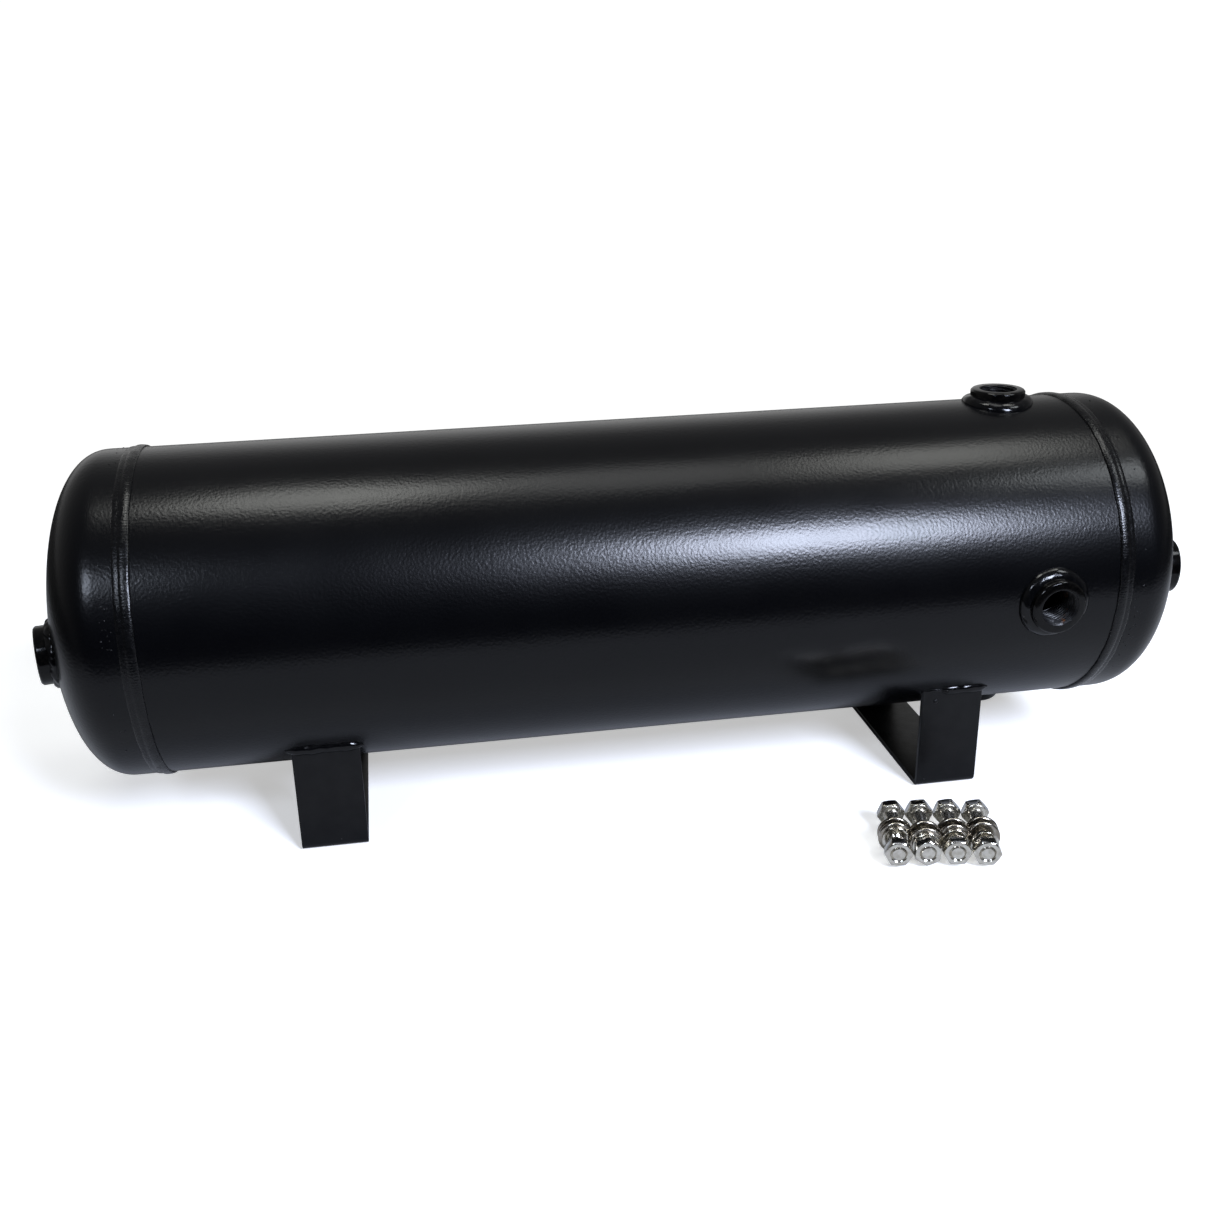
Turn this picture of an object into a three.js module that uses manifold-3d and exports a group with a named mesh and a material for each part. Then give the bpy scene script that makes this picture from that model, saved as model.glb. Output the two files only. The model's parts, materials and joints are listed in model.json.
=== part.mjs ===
// A small horizontal compressed-air receiver: a rolled shell, two dished heads, five threaded
// ports and two bent strap legs, all welded together and powder coated black, with the four
// loose sets of mounting hardware that lie on the floor in front of it.
//
// Millimetres, +Z up. The origin is on the floor, in the middle of the floor space that the tank
// and its loose hardware take up. +X runs along the tank and -Y is its front.

import * as THREE from 'three';
import { mergeVertices } from 'three/addons/utils/BufferGeometryUtils.js';
import Module from 'manifold-3d';

const wasm = await Module();
wasm.setup();

const INCH = 25.4;
const DEGREE = Math.PI / 180;
const GAP = 0.3; // left between pieces that touch or are welded together

// Tank: 6 5/8 inch pipe-size shell with dished heads
const TANK_RADIUS = 6.625 * INCH / 2;
const WALL = 3.0;
const AXIS_HEIGHT = 116.8;
const TANK_Y = 32.0; // tank axis behind the origin
const SEAM_X = 248.0; // middle of each girth weld
const FLANGE_LENGTH = 13.2; // straight part of a head, from the seam
const DISH_DEPTH = 32.9;
const DISH_POWER = 2.3; // roundness of the dish: 2 is an ellipse, more is squarer

// Girth welds
const GIRTH_HALF_WIDTH = 3.7;
const GIRTH_CROWN = 1.3; // how far the bead stands above the shell
const GIRTH_TOE = 0.3; // and at its edges

// Ports: half-inch pipe-thread weld bungs
const PORT_OUTER = 29.0;
const PORT_BORE = 19.0;
const PORT_LENGTH = 0.75 * INCH;
const PORT_STANDOUT = 7.0;
const PORT_CHAMFER = 0.8;
const BORE_CHAMFER = 1.2;
const SHELL_PORT_X = 208.4;
const FRONT_PORT_DROP = 2.0 * DEGREE; // below level, seen along the tank
const END_PORT_Y = -43.75;
const END_PORT_Z = -2.6;
const SHELL_PORT_WELD = { reach: 4.5, height: 3.7 }; // bead out from the bung, and up its side
const END_PORT_WELD = { reach: 2.7, height: 2.4 };
const PORT_WELD_ROOT = 5.0; // bead depth below the port's base point, before it is trimmed

// Legs: one bent strap each
const LEG_X = { left: -165.8, right: 168.2 };
const LEG_WIDTH = 34.0;
const LEG_HALF_SPAN = 60.5;
const LEG_THICKNESS = 3.0;
const LEG_BEND = 4.0;
const LEG_BEAD_RADIUS = 3.5;

// Mounting hardware: 5/16-18 bolts, 1 1/2 inch long
const BOLT_LENGTH = 1.5 * INCH;
const GRIP_LENGTH = 13.0;
const GRIP_RADIUS = 3.95;
const THREAD_RADIUS = 3.6;
const POINT_RADIUS = 3.1;
const POINT_LENGTH = 1.0;
const HEX_FLATS = 12.5;
const HEX_CORNERS = 14.2;
const HEX_CHAMFER = 1.0;
const HEAD_HEIGHT = 5.3;
const WASHER_FACE_RADIUS = 5.9;
const WASHER_FACE_HEIGHT = 0.4;
const NUT_HEIGHT = 6.75;
const NUT_BORE_RADIUS = 3.95;
const NUT_COUNTERSINK = 0.5;
const FLAT_WASHER = { outer: 17.46, inner: 8.7, thickness: 1.6 };
const LOCK_WASHER = { outer: 14.1, inner: 8.7, thickness: 2.0, slit: 14 * DEGREE };

// Where the hardware lies: four bolts side by side, turned a little from the tank's front
const ROW_CENTRE = new THREE.Vector2(142.1, TANK_Y - 104.7); // middle of the heads' undersides
const ROW_TURN = 15.2 * DEGREE;
const ROW_PITCH = 14.55;
const ROW_HEIGHT = FLAT_WASHER.outer / 2; // the flat washers stand on the floor

// One entry a set: how far forward it lies, the middles of its three washers from the underside
// of its head, and how its head and nut happen to be turned. Neighbours' washers overlap from
// the side, so their places along the bolts alternate.
const HARDWARE_SETS = [
  { forward: 2.1, inner: 16.7, outer: 21.8, lock: 24.0, headTurn: 10, nutTurn: 0 },
  { forward: 0.3, inner: 21.0, outer: 28.0, lock: 30.0, headTurn: 8, nutTurn: 27 },
  { forward: -1.0, inner: 18.6, outer: 24.9, lock: 27.1, headTurn: 11, nutTurn: 2 },
  { forward: -1.4, inner: 16.7, outer: 22.0, lock: 28.4, headTurn: 12, nutTurn: -2 },
];

const TURN_STEPS = { tank: 48, port: 20, weld: 20, hardware: 16 };
const DISH_STEPS = 6;
const BEND_STEPS = 3;

// ---------------------------------------------------------------------------------------------
// Meshes and solids

function signedVolume(positions, index) {
  const corner = [0, 1, 2].map(() => new THREE.Vector3());
  let volume = 0;
  for (let i = 0; i < index.length; i += 3) {
    corner.forEach((point, k) => point.fromArray(positions, 3 * index[i + k]));
    volume += corner[0].dot(corner[1].cross(corner[2])) / 6;
  }
  return volume;
}

// A manifold solid from any closed three.js geometry, its faces turned to point out.
function solid(geometry) {
  const bare = geometry.clone();
  bare.deleteAttribute('normal');
  bare.deleteAttribute('uv');
  const merged = mergeVertices(bare, 1e-3);
  const positions = merged.getAttribute('position').array;
  const index = merged.index.array;
  const triangles = [];
  for (let i = 0; i < index.length; i += 3) {
    const [a, b, c] = [index[i], index[i + 1], index[i + 2]];
    if (a !== b && b !== c && c !== a) {
      triangles.push(a, b, c);
    }
  }
  if (signedVolume(positions, triangles) < 0) {
    triangles.reverse();
  }
  const mesh = new wasm.Mesh({
    numProp: 3,
    vertProperties: new Float32Array(positions),
    triVerts: new Uint32Array(triangles),
  });
  return new wasm.Manifold(mesh);
}

function geometryOf(manifold) {
  const mesh = manifold.getMesh();
  const geometry = new THREE.BufferGeometry();
  geometry.setAttribute('position', new THREE.BufferAttribute(mesh.vertProperties, 3));
  geometry.setIndex(new THREE.BufferAttribute(mesh.triVerts, 1));
  geometry.computeVertexNormals();
  return geometry;
}

function turned(profile, steps) {
  const points = profile.map(([radius, height]) => new THREE.Vector2(radius, height));
  return new THREE.LatheGeometry(points, steps);
}

// A profile [radius, height] that closes on itself, turned into a ring about +Y.
function ring(profile, steps) {
  return turned([...profile, profile[0]], steps);
}

// From a shape about +Y to one about the tank's axis, pointing to +X or -X.
function alongTank(geometry, side = 1) {
  return geometry.rotateZ(-side * Math.PI / 2);
}

function movedBy(geometry, matrix) {
  return geometry.clone().applyMatrix4(matrix);
}

// ---------------------------------------------------------------------------------------------
// Tank, modelled about its own axis

function dishPoint(angle, grow = 0) {
  const power = 2 / DISH_POWER;
  const radius = (TANK_RADIUS + grow) * Math.sin(angle) ** power;
  const depth = (DISH_DEPTH + grow) * Math.cos(angle) ** power;
  return [radius, SEAM_X + FLANGE_LENGTH + depth];
}

// The dish from its pole to its rim.
function dishProfile(grow = 0) {
  const points = [[0, SEAM_X + FLANGE_LENGTH + DISH_DEPTH + grow]];
  for (let i = 1; i < DISH_STEPS; i += 1) {
    points.push(dishPoint(i / DISH_STEPS * Math.PI / 2, grow));
  }
  points.push([TANK_RADIUS + grow, SEAM_X + FLANGE_LENGTH]);
  return points;
}

function headSolid(side) {
  const edge = SEAM_X + GIRTH_HALF_WIDTH + GAP;
  const outside = dishProfile();
  const inside = dishProfile(-WALL).reverse();
  const profile = [...outside, [TANK_RADIUS, edge], [TANK_RADIUS - WALL, edge], ...inside];
  return solid(alongTank(turned(profile, TURN_STEPS.tank), side));
}

function shellSolid() {
  const end = SEAM_X - GIRTH_HALF_WIDTH - GAP;
  const profile = [
    [TANK_RADIUS - WALL, -end],
    [TANK_RADIUS, -end],
    [TANK_RADIUS, end],
    [TANK_RADIUS - WALL, end],
  ];
  return solid(alongTank(ring(profile, TURN_STEPS.tank)));
}

function girthWeldSolid(side) {
  const edge = GIRTH_HALF_WIDTH;
  const profile = [
    [TANK_RADIUS - WALL, SEAM_X - edge],
    [TANK_RADIUS + GIRTH_TOE, SEAM_X - edge],
    [TANK_RADIUS + GIRTH_CROWN, SEAM_X],
    [TANK_RADIUS + GIRTH_TOE, SEAM_X + edge],
    [TANK_RADIUS - WALL, SEAM_X + edge],
  ];
  return solid(alongTank(ring(profile, TURN_STEPS.tank), side));
}

// Everything that the shell's and heads' outer surface leaves no room for, grown by the gap.
function tankEnvelope() {
  const cap = dishProfile(GAP);
  const foot = cap.map(([radius, height]) => [radius, -height]).reverse();
  return solid(alongTank(turned([...cap, ...foot], TURN_STEPS.tank)));
}

// ---------------------------------------------------------------------------------------------
// Ports: each has a base point on the tank's surface and points straight out of it

function portPlace(base, outward) {
  const turn = new THREE.Quaternion().setFromUnitVectors(new THREE.Vector3(0, 1, 0), outward);
  return new THREE.Matrix4().compose(base, turn, new THREE.Vector3(1, 1, 1));
}

function shellPortPlace(angle) {
  const outward = new THREE.Vector3(0, -Math.cos(angle), Math.sin(angle));
  const base = outward.clone().multiplyScalar(TANK_RADIUS).setX(SHELL_PORT_X);
  return portPlace(base, outward);
}

function endPortPlace(side) {
  const radius = Math.hypot(END_PORT_Y, END_PORT_Z);
  const angle = Math.asin((radius / TANK_RADIUS) ** (DISH_POWER / 2));
  const [, reach] = dishPoint(angle);
  const depth = reach - SEAM_X - FLANGE_LENGTH;
  const slopeOut = (depth / DISH_DEPTH) ** (DISH_POWER - 1) / DISH_DEPTH;
  const slopeSide = (radius / TANK_RADIUS) ** (DISH_POWER - 1) / TANK_RADIUS;
  const outward = new THREE.Vector3(
    side * slopeOut,
    slopeSide * END_PORT_Y / radius,
    slopeSide * END_PORT_Z / radius,
  ).normalize();
  return portPlace(new THREE.Vector3(side * reach, END_PORT_Y, END_PORT_Z), outward);
}

const PORTS = {
  top: shellPortPlace(90 * DEGREE),
  front: shellPortPlace(-FRONT_PORT_DROP),
  bottom: shellPortPlace(-90 * DEGREE),
  left_end: endPortPlace(-1),
  right_end: endPortPlace(1),
};

function portGeometry() {
  const outer = PORT_OUTER / 2;
  const bore = PORT_BORE / 2;
  const face = PORT_STANDOUT;
  const back = PORT_STANDOUT - PORT_LENGTH;
  const profile = [
    [bore, back],
    [outer, back],
    [outer, face - PORT_CHAMFER],
    [outer - PORT_CHAMFER, face],
    [bore + BORE_CHAMFER, face],
    [bore, face - BORE_CHAMFER],
  ];
  return geometryOf(solid(ring(profile, TURN_STEPS.port)));
}

function portWeldSolid(place, { reach, height }) {
  const inner = PORT_OUTER / 2 + GAP;
  const profile = [
    [inner, -PORT_WELD_ROOT],
    [inner + reach, -PORT_WELD_ROOT],
    [inner + reach, 0.2],
    [inner + reach * 0.75, height * 0.6],
    [inner, height],
  ];
  return solid(movedBy(ring(profile, TURN_STEPS.weld), place)).subtract(tankEnvelope());
}

// The hole that a bung passes through, in the wall that it is welded into.
function portHole(place) {
  const radius = PORT_OUTER / 2 + GAP;
  const drill = new THREE.CylinderGeometry(radius, radius, 2 * PORT_LENGTH, TURN_STEPS.port);
  return solid(movedBy(drill, place));
}

// ---------------------------------------------------------------------------------------------
// Legs

// Shape X becomes the tank's Y, shape Y becomes Z, and the extrusion runs along X about a centre.
function extrudedAlongX(shape, length, curveSegments) {
  const options = { depth: length, bevelEnabled: false, curveSegments };
  const geometry = new THREE.ExtrudeGeometry(shape, options).translate(0, 0, -length / 2);
  const [x, y, z] = [[1, 0, 0], [0, 1, 0], [0, 0, 1]].map((axis) => new THREE.Vector3(...axis));
  return geometry.applyMatrix4(new THREE.Matrix4().makeBasis(y, z, x));
}

function legShape() {
  const outer = LEG_HALF_SPAN;
  const inner = LEG_HALF_SPAN - LEG_THICKNESS;
  const floor = -AXIS_HEIGHT;
  const plate = floor + LEG_THICKNESS;
  const bend = LEG_BEND;
  const innerBend = LEG_BEND - LEG_THICKNESS;
  const top = -TANK_RADIUS * 0.6;
  const quarter = Math.PI / 2;
  const shape = new THREE.Shape();
  shape.moveTo(-outer, top);
  shape.lineTo(-outer, floor + bend);
  shape.absarc(-outer + bend, floor + bend, bend, Math.PI, 3 * quarter, false);
  shape.absarc(outer - bend, floor + bend, bend, 3 * quarter, 4 * quarter, false);
  shape.lineTo(outer, top);
  shape.lineTo(inner, top);
  shape.lineTo(inner, plate + innerBend);
  shape.absarc(inner - innerBend, plate + innerBend, innerBend, 0, -quarter, true);
  shape.absarc(-inner + innerBend, plate + innerBend, innerBend, -quarter, -2 * quarter, true);
  shape.lineTo(-inner, top);
  return shape;
}

function legSolid(envelope) {
  return solid(extrudedAlongX(legShape(), LEG_WIDTH, BEND_STEPS)).subtract(envelope);
}

// The bead in the corner between an upright's outer face and the shell. side -1 is the front.
function legWeldSolid(side, envelope) {
  const faceY = LEG_HALF_SPAN + GAP;
  const cornerZ = -Math.sqrt(TANK_RADIUS ** 2 - faceY ** 2);
  const bead = new THREE.Shape();
  bead.absarc(side * faceY, cornerZ, LEG_BEAD_RADIUS, 0, 2 * Math.PI, false);
  const strap = new THREE.Shape();
  const reach = side * LEG_HALF_SPAN * 0.5;
  strap.moveTo(side * faceY, -AXIS_HEIGHT);
  strap.lineTo(side * faceY, 0);
  strap.lineTo(reach, 0);
  strap.lineTo(reach, -AXIS_HEIGHT);
  const round = solid(extrudedAlongX(bead, LEG_WIDTH, 2 * BEND_STEPS));
  const keepOut = solid(extrudedAlongX(strap, 2 * LEG_WIDTH, 1));
  return round.subtract(keepOut).subtract(envelope);
}

// ---------------------------------------------------------------------------------------------
// Hardware, modelled about +Y: y = 0 is the underside of the bolt's head and +Y leads to the nut

// A hexagon with a flat towards +Z and its corners chamfered at the given ends.
function hexSolid(low, high, chamferLow, chamferHigh) {
  const height = high - low;
  const cornerRadius = HEX_FLATS / 2 / Math.cos(30 * DEGREE);
  const prism = new THREE.CylinderGeometry(
    cornerRadius, cornerRadius, height, 6, 1, false, 30 * DEGREE,
  ).translate(0, (low + high) / 2, 0);
  const outer = HEX_CORNERS / 2;
  const face = outer - HEX_CHAMFER;
  const rise = HEX_CHAMFER * Math.tan(30 * DEGREE);
  const profile = [[0, low], [chamferLow ? face : outer, low]];
  if (chamferLow) {
    profile.push([outer, low + rise]);
  }
  if (chamferHigh) {
    profile.push([outer, high - rise]);
  }
  profile.push([chamferHigh ? face : outer, high], [0, high]);
  return solid(prism).intersect(solid(turned(profile, TURN_STEPS.hardware)));
}

function boltGeometry() {
  const shank = turned([
    [0, -HEAD_HEIGHT / 2],
    [WASHER_FACE_RADIUS, -HEAD_HEIGHT / 2],
    [WASHER_FACE_RADIUS, 0],
    [GRIP_RADIUS, 0],
    [GRIP_RADIUS, GRIP_LENGTH],
    [THREAD_RADIUS, GRIP_LENGTH + GRIP_RADIUS - THREAD_RADIUS],
    [THREAD_RADIUS, BOLT_LENGTH - POINT_LENGTH],
    [POINT_RADIUS, BOLT_LENGTH],
    [0, BOLT_LENGTH],
  ], TURN_STEPS.hardware);
  const head = hexSolid(-HEAD_HEIGHT, -WASHER_FACE_HEIGHT, true, false);
  return geometryOf(head.add(solid(shank)));
}

function nutGeometry() {
  const low = BOLT_LENGTH - NUT_HEIGHT;
  const high = BOLT_LENGTH;
  const sink = NUT_BORE_RADIUS + NUT_COUNTERSINK;
  const bore = turned([
    [0, low - 1],
    [sink + 1, low - 1],
    [NUT_BORE_RADIUS, low + NUT_COUNTERSINK],
    [NUT_BORE_RADIUS, high - NUT_COUNTERSINK],
    [sink + 1, high + 1],
    [0, high + 1],
  ], TURN_STEPS.hardware);
  return geometryOf(hexSolid(low, high, true, true).subtract(solid(bore)));
}

function flatWasherGeometry() {
  const { outer, inner, thickness } = FLAT_WASHER;
  const profile = [
    [inner / 2, -thickness / 2],
    [outer / 2, -thickness / 2],
    [outer / 2, thickness / 2],
    [inner / 2, thickness / 2],
  ];
  return geometryOf(solid(ring(profile, TURN_STEPS.hardware)));
}

// A split ring, with its slit towards +Z.
function lockWasherGeometry() {
  const { outer, inner, thickness, slit } = LOCK_WASHER;
  const start = slit / 2;
  const end = 2 * Math.PI - slit / 2;
  const shape = new THREE.Shape();
  shape.absarc(0, 0, outer / 2, start, end, false);
  shape.absarc(0, 0, inner / 2, end, start, true);
  const options = { depth: thickness, bevelEnabled: false, curveSegments: TURN_STEPS.hardware };
  const flat = new THREE.ExtrudeGeometry(shape, options).translate(0, 0, -thickness / 2);
  return geometryOf(solid(flat.rotateZ(90 * DEGREE).rotateX(90 * DEGREE)));
}

// ---------------------------------------------------------------------------------------------
// Materials and assembly

const POWDER_COAT = { color: 0x17191c, roughness: 0.42, metalness: 0.1 };
const COATED_WELD = { color: 0x101113, roughness: 0.3, metalness: 0.1 };
const STAINLESS = { color: 0xb9b7b2, roughness: 0.3, metalness: 1.0 };

function piece(name, geometry, look) {
  const mesh = new THREE.Mesh(geometry, new THREE.MeshStandardMaterial(look));
  mesh.name = name;
  return mesh;
}

function shellPiece() {
  const drilled = ['top', 'front', 'bottom'].reduce(
    (wall, name) => wall.subtract(portHole(PORTS[name])),
    shellSolid(),
  );
  return piece('shell', geometryOf(drilled), POWDER_COAT);
}

function headPiece(name, side) {
  const drilled = headSolid(side).subtract(portHole(PORTS[`${name}_end`]));
  return piece(`${name}_head`, geometryOf(drilled), POWDER_COAT);
}

function portPieces(name, place) {
  const port = piece(`${name}_port`, portGeometry(), POWDER_COAT);
  port.position.setFromMatrixPosition(place);
  port.quaternion.setFromRotationMatrix(place);
  const bead = name.endsWith('end') ? END_PORT_WELD : SHELL_PORT_WELD;
  const weld = piece(`${name}_port_weld`, geometryOf(portWeldSolid(place, bead)), COATED_WELD);
  return [port, weld];
}

function legPieces(name, envelope) {
  const leg = new THREE.Group();
  leg.position.x = LEG_X[name];
  leg.add(piece(`${name}_leg`, geometryOf(legSolid(envelope)), POWDER_COAT));
  for (const [where, side] of [['front', -1], ['rear', 1]]) {
    const bead = geometryOf(legWeldSolid(side, envelope));
    leg.add(piece(`${name}_leg_${where}_weld`, bead, COATED_WELD));
  }
  return leg;
}

function tank() {
  const group = new THREE.Group();
  const envelope = tankEnvelope();
  group.position.set(0, TANK_Y, AXIS_HEIGHT);
  group.add(shellPiece());
  for (const [name, side] of [['left', -1], ['right', 1]]) {
    group.add(headPiece(name, side));
    group.add(piece(`${name}_girth_weld`, geometryOf(girthWeldSolid(side)), COATED_WELD));
    group.add(legPieces(name, envelope));
  }
  for (const [name, place] of Object.entries(PORTS)) {
    group.add(...portPieces(name, place));
  }
  return group;
}

function hardwareSet(number, set) {
  const group = new THREE.Group();
  const forward = new THREE.Vector2(-Math.sin(ROW_TURN), -Math.cos(ROW_TURN));
  const across = new THREE.Vector2(Math.cos(ROW_TURN), -Math.sin(ROW_TURN));
  const middle = (HARDWARE_SETS.length - 1) / 2;
  const spot = ROW_CENTRE.clone()
    .addScaledVector(across, ROW_PITCH * (number - 1 - middle))
    .addScaledVector(forward, set.forward);
  group.position.set(spot.x, spot.y, ROW_HEIGHT);
  group.rotation.z = Math.PI - ROW_TURN;

  const bolt = piece(`bolt_${number}`, boltGeometry(), STAINLESS);
  bolt.rotation.y = set.headTurn * DEGREE;
  const nut = piece(`nut_${number}`, nutGeometry(), STAINLESS);
  nut.rotation.y = set.nutTurn * DEGREE;
  const inner = piece(`inner_washer_${number}`, flatWasherGeometry(), STAINLESS);
  inner.position.y = set.inner;
  const outer = piece(`outer_washer_${number}`, flatWasherGeometry(), STAINLESS);
  outer.position.y = set.outer;
  const lock = piece(`lock_washer_${number}`, lockWasherGeometry(), STAINLESS);
  lock.position.y = set.lock;
  group.add(bolt, inner, outer, lock, nut);
  return group;
}

const model = new THREE.Group();
model.add(tank());
HARDWARE_SETS.forEach((set, i) => model.add(hardwareSet(i + 1, set)));

export default model;
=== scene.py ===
"""Looks for a small compressed-air receiver tank and its four loose sets of mounting hardware.

Every CAD node is replaced by a finer piece of the same name with "_look" added, in the same
place and on the same body. Shapes are worked out in millimetres and scaled to metres as each
mesh is made.
"""

import json
import random
from math import asin, copysign, cos, hypot, pi, radians, sin, sqrt, tan

import bmesh
import bpy
import numpy as np
from mathutils import Matrix, Vector

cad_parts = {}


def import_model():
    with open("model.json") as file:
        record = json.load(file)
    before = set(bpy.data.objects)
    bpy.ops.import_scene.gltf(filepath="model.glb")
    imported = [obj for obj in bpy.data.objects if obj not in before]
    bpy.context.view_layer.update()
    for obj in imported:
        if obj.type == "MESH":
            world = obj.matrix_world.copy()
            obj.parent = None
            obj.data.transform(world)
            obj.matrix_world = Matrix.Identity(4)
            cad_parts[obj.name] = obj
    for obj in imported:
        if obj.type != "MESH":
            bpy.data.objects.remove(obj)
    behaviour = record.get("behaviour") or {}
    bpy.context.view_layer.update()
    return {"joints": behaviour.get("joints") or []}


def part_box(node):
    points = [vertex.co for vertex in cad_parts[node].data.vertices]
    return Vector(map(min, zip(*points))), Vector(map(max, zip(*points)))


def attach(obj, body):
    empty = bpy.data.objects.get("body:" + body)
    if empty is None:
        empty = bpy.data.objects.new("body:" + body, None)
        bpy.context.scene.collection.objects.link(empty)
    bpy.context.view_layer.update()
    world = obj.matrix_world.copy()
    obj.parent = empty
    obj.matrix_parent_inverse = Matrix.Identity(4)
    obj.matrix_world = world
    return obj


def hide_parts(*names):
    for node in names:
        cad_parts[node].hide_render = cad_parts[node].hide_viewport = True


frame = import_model()

MM = 0.001
TURN = 2 * pi

# ---------------------------------------------------------------------------------------------
# Sizes in millimetres. Places are read from the frame.


def box_mm(node):
    """The lowest and the highest corner of a CAD node."""
    low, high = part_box(node)
    return np.array(low) / MM, np.array(high) / MM


def middle_mm(node):
    """The middle of a CAD node's box."""
    low, high = box_mm(node)
    return (low + high) / 2


SHELL_LOW, SHELL_HIGH = box_mm("shell")
TANK_RADIUS = (SHELL_HIGH[2] - SHELL_LOW[2]) / 2
AXIS = (SHELL_LOW + SHELL_HIGH) / 2
SHELL_END = SHELL_HIGH[0]
HEAD_START = box_mm("right_head")[0][0]
HEAD_POLE = box_mm("right_head")[1][0]
SEAM_X = middle_mm("right_girth_weld")[0]
WALL = 3.0
DISH_DEPTH = 32.9
DISH_POWER = 2.3
FLANGE_END = HEAD_POLE - DISH_DEPTH

PORT_OUTER = 14.5
PORT_CHAMFER = 0.9
PORT_LENGTH = 19.05
PORT_STANDOUT = 7.0
PIPE_PITCH = 25.4 / 14
PIPE_CREST = 9.3
PIPE_DEPTH = 1.0
PIPE_MOUTH = 9.9
PIPE_TAPER = 1 / 32
FRONT_PORT_DROP = radians(2.0)
END_PORT_Y = -43.75
END_PORT_Z = -2.6

LEG_THICKNESS = 3.0
LEG_BEND = 4.0
LEG_EDGE = 0.45

BOLT_PITCH = 25.4 / 18
BOLT_LENGTH = 38.1
GRIP_LENGTH = 13.0
GRIP_RADIUS = 3.95
BOLT_CREST = 3.88
BOLT_ROOT = 3.2
POINT_RADIUS = 3.1
POINT_LENGTH = 0.85
HEX_FLATS = 6.25
HEX_CORNERS = 7.1
HEX_FACE = 6.1
HEAD_HEIGHT = 5.3
WASHER_FACE_RADIUS = 5.9
WASHER_FACE_HEIGHT = 0.4
NUT_HEIGHT = 6.75
NUT_CREST = 3.42
NUT_ROOT = 4.02
NUT_SINK = 4.4
HEAD_TURNS = [10, 8, 11, 12]
NUT_TURNS = [0, 27, 2, -2]
FLAT_WASHER = {"outer": 8.73, "inner": 4.35, "thickness": 1.6, "steps": 72}
LOCK_WASHER = {"outer": 7.05, "inner": 4.35, "thickness": 2.0, "slit": radians(14)}
LOCK_STEPS = 61
LOCK_SPRING = 0.16  # how far each end stands off the middle
LOCK_WEDGE = 0.04  # how fast the wire thins outwards
LOCK_LEAN = 0.09  # how far the cuts slant
LOCK_SHRINK = 0.1  # the wire is this much thinner than the washer is high
LOCK_EDGE = 0.22  # the wire's edge radius
LOCK_CORNER_STEPS = 3

# ---------------------------------------------------------------------------------------------
# Meshes


def skin(points, loop):
    """Vertices and faces over rows x columns of points. Columns wrap round. The rows wrap too in
    a loop; otherwise the first and the last row are closed with a fan to their middle."""
    rows, columns = points.shape[:2]
    vertices = points.reshape(-1, 3)
    last = rows if loop else rows - 1
    row = np.repeat(np.arange(last), columns)
    column = np.tile(np.arange(columns), last)
    beside = (column + 1) % columns
    above = (row + 1) % rows
    quads = np.stack(
        [
            row * columns + column,
            row * columns + beside,
            above * columns + beside,
            above * columns + column,
        ],
        axis=1,
    )
    faces = quads.tolist()
    if not loop:
        centres = [points[0].mean(axis=0), points[-1].mean(axis=0)]
        vertices = np.concatenate([vertices, centres])
        first, second = rows * columns, rows * columns + 1
        end = (rows - 1) * columns
        for k in range(columns):
            following = (k + 1) % columns
            faces.append([first, following, k])
            faces.append([second, end + k, end + following])
    return vertices, faces


def joined(parts):
    """One list of vertices and one of faces from several skins."""
    vertices, faces, start = [], [], 0
    for part_vertices, part_faces in parts:
        vertices.append(part_vertices)
        faces.extend([[start + i for i in face] for face in part_faces])
        start += len(part_vertices)
    return np.concatenate(vertices), faces


def shade(mesh, sharp_degrees):
    """Smooth shading, with edges past this angle kept sharp."""
    mesh.polygons.foreach_set("use_smooth", [True] * len(mesh.polygons))
    mesh.set_sharp_from_angle(angle=radians(sharp_degrees))
    mesh.update()


# Edges past these angles stay sharp, by kind of piece.
PLATE_SHARP = 35
THREADED_SHARP = 38
FORMED_SHARP = 40
BEAD_SHARP = 50


def mesh_object(name, vertices, faces, sharp_degrees=PLATE_SHARP):
    """An object from millimetre vertices, its faces turned to point out."""
    mesh = bpy.data.meshes.new(name)
    mesh.from_pydata((np.asarray(vertices) * MM).tolist(), [], faces)
    work = bmesh.new()
    work.from_mesh(mesh)
    bmesh.ops.recalc_face_normals(work, faces=work.faces)
    work.to_mesh(mesh)
    work.free()
    shade(mesh, sharp_degrees)
    made = bpy.data.objects.new(name, mesh)
    bpy.context.scene.collection.objects.link(made)
    return made


def drill(piece, cutters):
    """Takes the cutters out of the piece, and then removes them."""
    for cutter in cutters:
        hole = piece.modifiers.new("hole", "BOOLEAN")
        hole.object = cutter
        hole.operation = "DIFFERENCE"
        hole.solver = "EXACT"
    graph = bpy.context.evaluated_depsgraph_get()
    piece.data = bpy.data.meshes.new_from_object(piece.evaluated_get(graph))
    piece.modifiers.clear()
    shade(piece.data, PLATE_SHARP)
    for cutter in cutters:
        bpy.data.objects.remove(cutter)


def present(piece, node, body, slot, *materials):
    """Puts a finished piece in its CAD node's place."""
    for material in materials:
        piece.data.materials.append(material)
    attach(piece, body)
    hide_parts(node)


def use_second_material(piece, first_face, last_face):
    """Gives the faces from first_face up to last_face the piece's second material."""
    numbers = np.zeros(len(piece.data.polygons), dtype=np.int32)
    numbers[first_face:last_face] = 1
    piece.data.polygons.foreach_set("material_index", numbers)


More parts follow.
